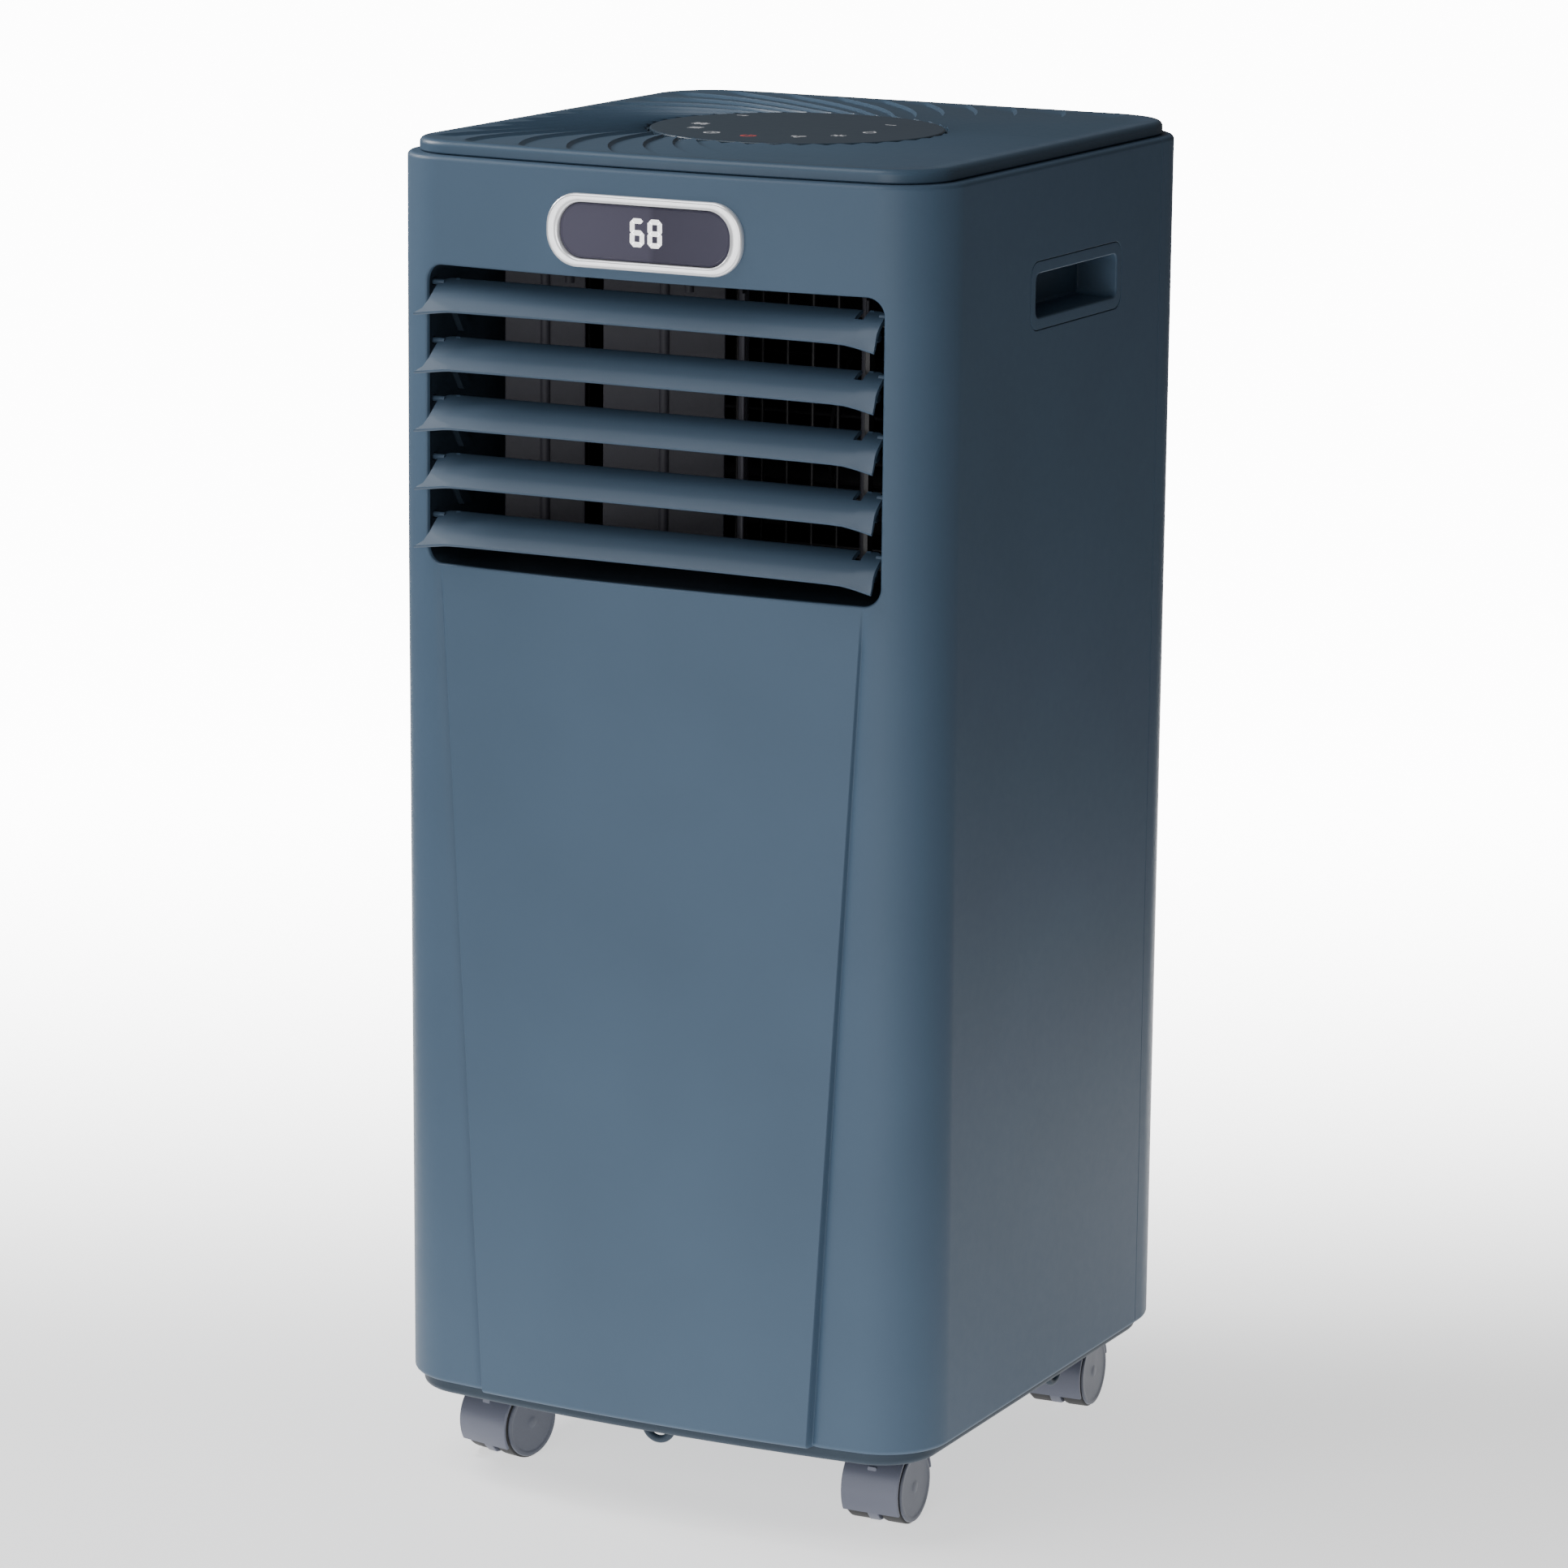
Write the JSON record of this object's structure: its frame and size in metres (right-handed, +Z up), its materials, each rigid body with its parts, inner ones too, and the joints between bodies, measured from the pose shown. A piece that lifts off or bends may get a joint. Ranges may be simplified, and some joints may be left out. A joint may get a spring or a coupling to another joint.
{
  "type": "portable air conditioner",
  "caption": "Upright portable air conditioner on swivel casters, with a louvered front outlet, round touch panel on top, side handles and a rear exhaust collar.",
  "frame": {"origin": "centre of the footprint, on the floor under the wheels", "axes": "+Z up, -Y towards the front with the louvers, +X to the right of someone facing the front"},
  "size_m": [0.3, 0.3252, 0.683],
  "materials": {
    "shell_plastic": "satin slate-blue moulding",
    "base_plastic": "satin darker moulding",
    "louver_plastic": "satin",
    "duct_plastic": "satin",
    "vane_plastic": "matt grey",
    "inner_plastic": "matt black",
    "panel_gloss": "gloss black touch panel",
    "bezel_gloss": "silver-white gloss",
    "smoked_window": "smoked clear plastic",
    "digit_light": "lit bars",
    "hood_plastic": "satin grey metallic",
    "wheel_plastic": "satin grey",
    "rubber_black": "matt",
    "coil_metal": "mill",
    "copper_tube": "copper colour",
    "can_paint": "black enamel",
    "motor_steel": "zinc plated",
    "screw_steel": "black zinc",
    "filter_mesh": "fine mesh in a frame"
  },
  "bodies": {
    "cabinet": {"housing_front": "shell_plastic", "housing_rear": "shell_plastic", "top_cover": "shell_plastic", "base_tray": "base_plastic", "handle_left": "shell_plastic", "handle_right": "shell_plastic", "control_panel": "panel_gloss", "display_bezel": "bezel_gloss", "display_window": "smoked_window", "display_digits": "digit_light", "outlet_duct": "duct_plastic", "outlet_guard": "inner_plastic", "blower_housing": "inner_plastic", "blower_motor": "motor_steel", "evaporator_coil": "coil_metal", "condenser_coil": "coil_metal", "divider_deck": "inner_plastic", "exhaust_duct": "inner_plastic", "fan_motor": "motor_steel", "compressor": "can_paint", "compressor_grommets": "rubber_black", "accumulator": "can_paint", "suction_tube": "copper_tube", "discharge_tube": "copper_tube", "control_box": "inner_plastic", "exhaust_collar": "shell_plastic", "cord_gland": "rubber_black", "case_screws": "screw_steel"},
    "louver_1": {"louver_1": "louver_plastic"},
    "louver_2": {"louver_2": "louver_plastic"},
    "louver_3": {"louver_3": "louver_plastic"},
    "louver_4": {"louver_4": "louver_plastic"},
    "louver_5": {"louver_5": "louver_plastic"},
    "louver_link": {"louver_link": "inner_plastic"},
    "vane_left_outer": {"vane_left_outer": "vane_plastic"},
    "vane_left_inner": {"vane_left_inner": "vane_plastic"},
    "vane_link_left": {"vane_link_left": "inner_plastic"},
    "vane_right_outer": {"vane_right_outer": "vane_plastic"},
    "vane_right_inner": {"vane_right_inner": "vane_plastic"},
    "vane_link_right": {"vane_link_right": "inner_plastic"},
    "blower_wheel": {"blower_wheel": "inner_plastic"},
    "fan_wheel": {"fan_wheel": "inner_plastic"},
    "grille_upper": {"grille_upper": "shell_plastic", "filter_upper": "filter_mesh"},
    "grille_lower": {"grille_lower": "shell_plastic", "filter_lower": "filter_mesh"},
    "drain_plug": {"drain_plug": "rubber_black"},
    "caster_fl": {"caster_fl_hood": "hood_plastic"},
    "caster_fl_wheel_left": {"caster_fl_wheel_left": "wheel_plastic"},
    "caster_fl_wheel_right": {"caster_fl_wheel_right": "wheel_plastic"},
    "caster_fr": {"caster_fr_hood": "hood_plastic"},
    "caster_fr_wheel_left": {"caster_fr_wheel_left": "wheel_plastic"},
    "caster_fr_wheel_right": {"caster_fr_wheel_right": "wheel_plastic"},
    "caster_bl": {"caster_bl_hood": "hood_plastic"},
    "caster_bl_wheel_left": {"caster_bl_wheel_left": "wheel_plastic"},
    "caster_bl_wheel_right": {"caster_bl_wheel_right": "wheel_plastic"},
    "caster_br": {"caster_br_hood": "hood_plastic"},
    "caster_br_wheel_left": {"caster_br_wheel_left": "wheel_plastic"},
    "caster_br_wheel_right": {"caster_br_wheel_right": "wheel_plastic"}
  },
  "joints": [
    {"name": "louver_1_tilt", "type": "hinge", "parent": "cabinet", "child": "louver_1", "pos_m": [0, -0.145, 0.6132], "axis": [1, 0, 0], "range_deg": [-34, 14]},
    {"name": "louver_2_tilt", "type": "hinge", "parent": "cabinet", "child": "louver_2", "pos_m": [0, -0.145, 0.5843], "axis": [1, 0, 0], "range_deg": [-34, 14]},
    {"name": "louver_3_tilt", "type": "hinge", "parent": "cabinet", "child": "louver_3", "pos_m": [0, -0.145, 0.5554], "axis": [1, 0, 0], "range_deg": [-34, 14]},
    {"name": "louver_4_tilt", "type": "hinge", "parent": "cabinet", "child": "louver_4", "pos_m": [0, -0.145, 0.5265], "axis": [1, 0, 0], "range_deg": [-34, 14]},
    {"name": "louver_5_tilt", "type": "hinge", "parent": "cabinet", "child": "louver_5", "pos_m": [0, -0.145, 0.4976], "axis": [1, 0, 0], "range_deg": [-34, 14]},
    {"name": "louver_link_pivot", "type": "hinge", "parent": "louver_1", "child": "louver_link", "pos_m": [0.1096, -0.13606, 0.60216], "axis": [1, 0, 0], "range_deg": [-14, 34]},
    {"name": "vane_left_outer_turn", "type": "hinge", "parent": "cabinet", "child": "vane_left_outer", "pos_m": [-0.089, -0.098, 0.548], "axis": [0, 0, 1], "range_deg": [0, 100]},
    {"name": "vane_left_inner_turn", "type": "hinge", "parent": "cabinet", "child": "vane_left_inner", "pos_m": [-0.022, -0.098, 0.548], "axis": [0, 0, 1], "range_deg": [0, 100]},
    {"name": "vane_link_left_pivot", "type": "hinge", "parent": "vane_left_outer", "child": "vane_link_left", "pos_m": [-0.07831, -0.09255, 0.618], "axis": [0, 0, 1], "range_deg": [-100, 0]},
    {"name": "vane_right_outer_turn", "type": "hinge", "parent": "cabinet", "child": "vane_right_outer", "pos_m": [0.089, -0.098, 0.548], "axis": [0, 0, 1], "range_deg": [-64, 13]},
    {"name": "vane_right_inner_turn", "type": "hinge", "parent": "cabinet", "child": "vane_right_inner", "pos_m": [0.022, -0.098, 0.548], "axis": [0, 0, 1], "range_deg": [-64, 13]},
    {"name": "vane_link_right_pivot", "type": "hinge", "parent": "vane_right_outer", "child": "vane_link_right", "pos_m": [0.08355, -0.08731, 0.618], "axis": [0, 0, 1], "range_deg": [-13, 64]},
    {"name": "blower_spin", "type": "hinge", "parent": "cabinet", "child": "blower_wheel", "pos_m": [0, 0.025, 0.525], "axis": [1, 0, 0], "continuous": true},
    {"name": "fan_spin", "type": "hinge", "parent": "cabinet", "child": "fan_wheel", "pos_m": [0.035, 0.076, 0.165], "axis": [0, 1, 0], "continuous": true},
    {"name": "grille_upper_pull", "type": "slide", "parent": "cabinet", "child": "grille_upper", "axis": [0, 1, 0], "range_m": [0, 0.06]},
    {"name": "grille_lower_pull", "type": "slide", "parent": "cabinet", "child": "grille_lower", "axis": [0, 1, 0], "range_m": [0, 0.06]},
    {"name": "drain_plug_pull", "type": "slide", "parent": "cabinet", "child": "drain_plug", "axis": [0, 0, -1], "range_m": [0, 0.02]},
    {"name": "caster_fl_swivel", "type": "hinge", "parent": "cabinet", "child": "caster_fl", "pos_m": [-0.107, -0.082, 0.048], "axis": [0, 0, 1], "continuous": true},
    {"name": "caster_fl_wheel_left_spin", "type": "hinge", "parent": "caster_fl", "child": "caster_fl_wheel_left", "pos_m": [-0.11012, -0.09667, 0.019], "axis": [0.9781, -0.2079, 0], "continuous": true},
    {"name": "caster_fl_wheel_right_spin", "type": "hinge", "parent": "caster_fl", "child": "caster_fl_wheel_right", "pos_m": [-0.11012, -0.09667, 0.019], "axis": [0.9781, -0.2079, 0], "continuous": true},
    {"name": "caster_fr_swivel", "type": "hinge", "parent": "cabinet", "child": "caster_fr", "pos_m": [0.107, -0.082, 0.048], "axis": [0, 0, 1], "continuous": true},
    {"name": "caster_fr_wheel_left_spin", "type": "hinge", "parent": "caster_fr", "child": "caster_fr_wheel_left", "pos_m": [0.10752, -0.09699, 0.019], "axis": [0.9994, 0.0349, 0], "continuous": true},
    {"name": "caster_fr_wheel_right_spin", "type": "hinge", "parent": "caster_fr", "child": "caster_fr_wheel_right", "pos_m": [0.10752, -0.09699, 0.019], "axis": [0.9994, 0.0349, 0], "continuous": true},
    {"name": "caster_bl_swivel", "type": "hinge", "parent": "cabinet", "child": "caster_bl", "pos_m": [-0.107, 0.133, 0.048], "axis": [0, 0, 1], "continuous": true},
    {"name": "caster_bl_wheel_left_spin", "type": "hinge", "parent": "caster_bl", "child": "caster_bl_wheel_left", "pos_m": [-0.10831, 0.11806, 0.019], "axis": [0.9962, -0.0872, 0], "continuous": true},
    {"name": "caster_bl_wheel_right_spin", "type": "hinge", "parent": "caster_bl", "child": "caster_bl_wheel_right", "pos_m": [-0.10831, 0.11806, 0.019], "axis": [0.9962, -0.0872, 0], "continuous": true},
    {"name": "caster_br_swivel", "type": "hinge", "parent": "cabinet", "child": "caster_br", "pos_m": [0.107, 0.133, 0.048], "axis": [0, 0, 1], "continuous": true},
    {"name": "caster_br_wheel_left_spin", "type": "hinge", "parent": "caster_br", "child": "caster_br_wheel_left", "pos_m": [0.10805, 0.11804, 0.019], "axis": [0.9976, 0.0698, 0], "continuous": true},
    {"name": "caster_br_wheel_right_spin", "type": "hinge", "parent": "caster_br", "child": "caster_br_wheel_right", "pos_m": [0.10805, 0.11804, 0.019], "axis": [0.9976, 0.0698, 0], "continuous": true}
  ],
  "couplings": [
    {"joint": "louver_2_tilt", "follows": "louver_1_tilt", "ratio": 1},
    {"joint": "louver_3_tilt", "follows": "louver_1_tilt", "ratio": 1},
    {"joint": "louver_4_tilt", "follows": "louver_1_tilt", "ratio": 1},
    {"joint": "louver_5_tilt", "follows": "louver_1_tilt", "ratio": 1},
    {"joint": "louver_link_pivot", "follows": "louver_1_tilt", "ratio": -1},
    {"joint": "vane_left_inner_turn", "follows": "vane_left_outer_turn", "ratio": 1},
    {"joint": "vane_link_left_pivot", "follows": "vane_left_outer_turn", "ratio": -1},
    {"joint": "vane_right_inner_turn", "follows": "vane_right_outer_turn", "ratio": 1},
    {"joint": "vane_link_right_pivot", "follows": "vane_right_outer_turn", "ratio": -1}
  ]
}
